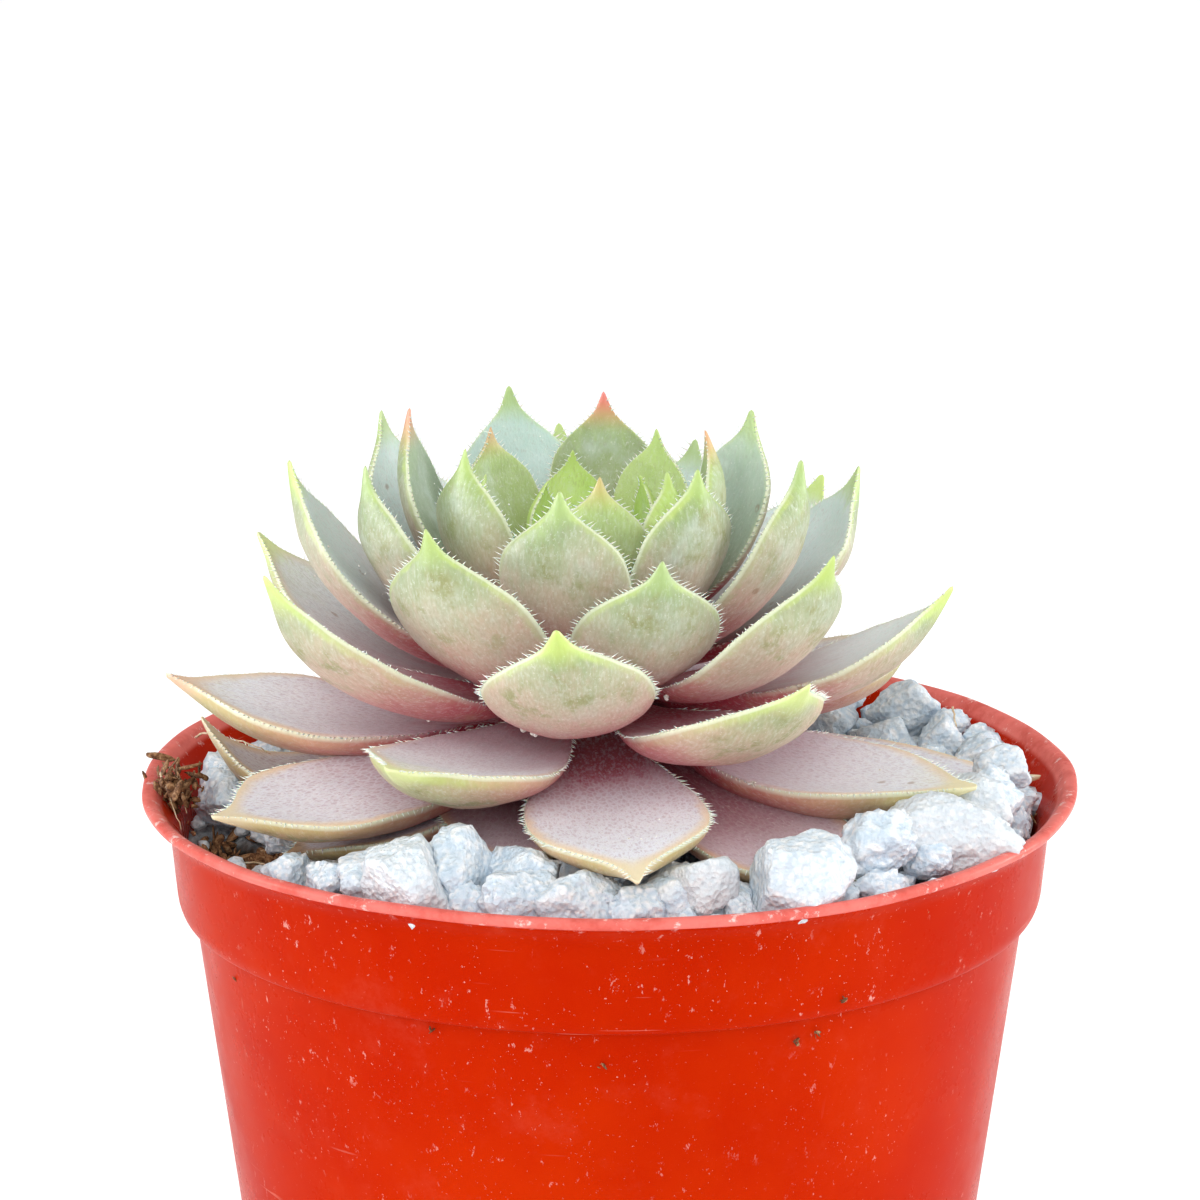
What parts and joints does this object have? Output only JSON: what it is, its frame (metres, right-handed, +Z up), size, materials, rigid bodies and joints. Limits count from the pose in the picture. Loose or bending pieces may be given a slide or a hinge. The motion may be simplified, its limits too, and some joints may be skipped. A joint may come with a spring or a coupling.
{
  "type": "potted succulent",
  "caption": "Houseleek rosette of pointed, cupped fleshy leaves on a short crown, planted in a thin tapered round nursery pot with a flared lip and top-dressed with coarse white gravel.",
  "frame": {"origin": "on the pot's axis, on the plane that the pot stands on", "axes": "+Z up, -Y is the front that the picture shows, +X is its right"},
  "size_m": [0.064, 0.064, 0.0819],
  "materials": {
    "pot_plastic": "thin moulded plastic, soft gloss with fine scratches and white dust",
    "potting_mix": "dark fibrous peat mix, dry and crumbly",
    "gravel": "crushed white quartz, frosted, some stones translucent",
    "crown": "pale brown fibrous stem",
    "leaf": "fleshy leaf skin, velvety grey-green with lime tips and a mauve flush at the base"
  },
  "bodies": {
    "root": {"pot": "pot_plastic", "potting_mix": "potting_mix", "gravel": "gravel", "stone_front_left": "gravel", "stone_front_right": "gravel", "stone_right": "gravel", "crown_and_root": "crown", "bud": "leaf", "leaf_04": "leaf", "leaf_05": "leaf", "leaf_06": "leaf", "leaf_07": "leaf", "leaf_08": "leaf", "leaf_09": "leaf", "leaf_10": "leaf", "leaf_11": "leaf", "leaf_12": "leaf", "leaf_13": "leaf", "leaf_14": "leaf", "leaf_15": "leaf", "leaf_16": "leaf", "leaf_17": "leaf", "leaf_18": "leaf", "leaf_19": "leaf", "leaf_20": "leaf", "leaf_21": "leaf", "leaf_22": "leaf", "leaf_23": "leaf", "leaf_24": "leaf", "leaf_25": "leaf", "leaf_26": "leaf", "leaf_27": "leaf", "leaf_28": "leaf", "leaf_29": "leaf", "leaf_30": "leaf", "leaf_31": "leaf", "leaf_32": "leaf", "leaf_33": "leaf", "leaf_34": "leaf", "leaf_35": "leaf", "leaf_36": "leaf", "leaf_37": "leaf", "leaf_38": "leaf", "leaf_39": "leaf", "leaf_40": "leaf", "leaf_41": "leaf", "leaf_42": "leaf", "leaf_43": "leaf", "leaf_44": "leaf", "leaf_45": "leaf", "leaf_46": "leaf", "leaf_47": "leaf", "leaf_48": "leaf", "leaf_49": "leaf", "leaf_50": "leaf", "leaf_51": "leaf", "leaf_53": "leaf", "leaf_55": "leaf", "leaf_56": "leaf"}
  },
  "joints": []
}
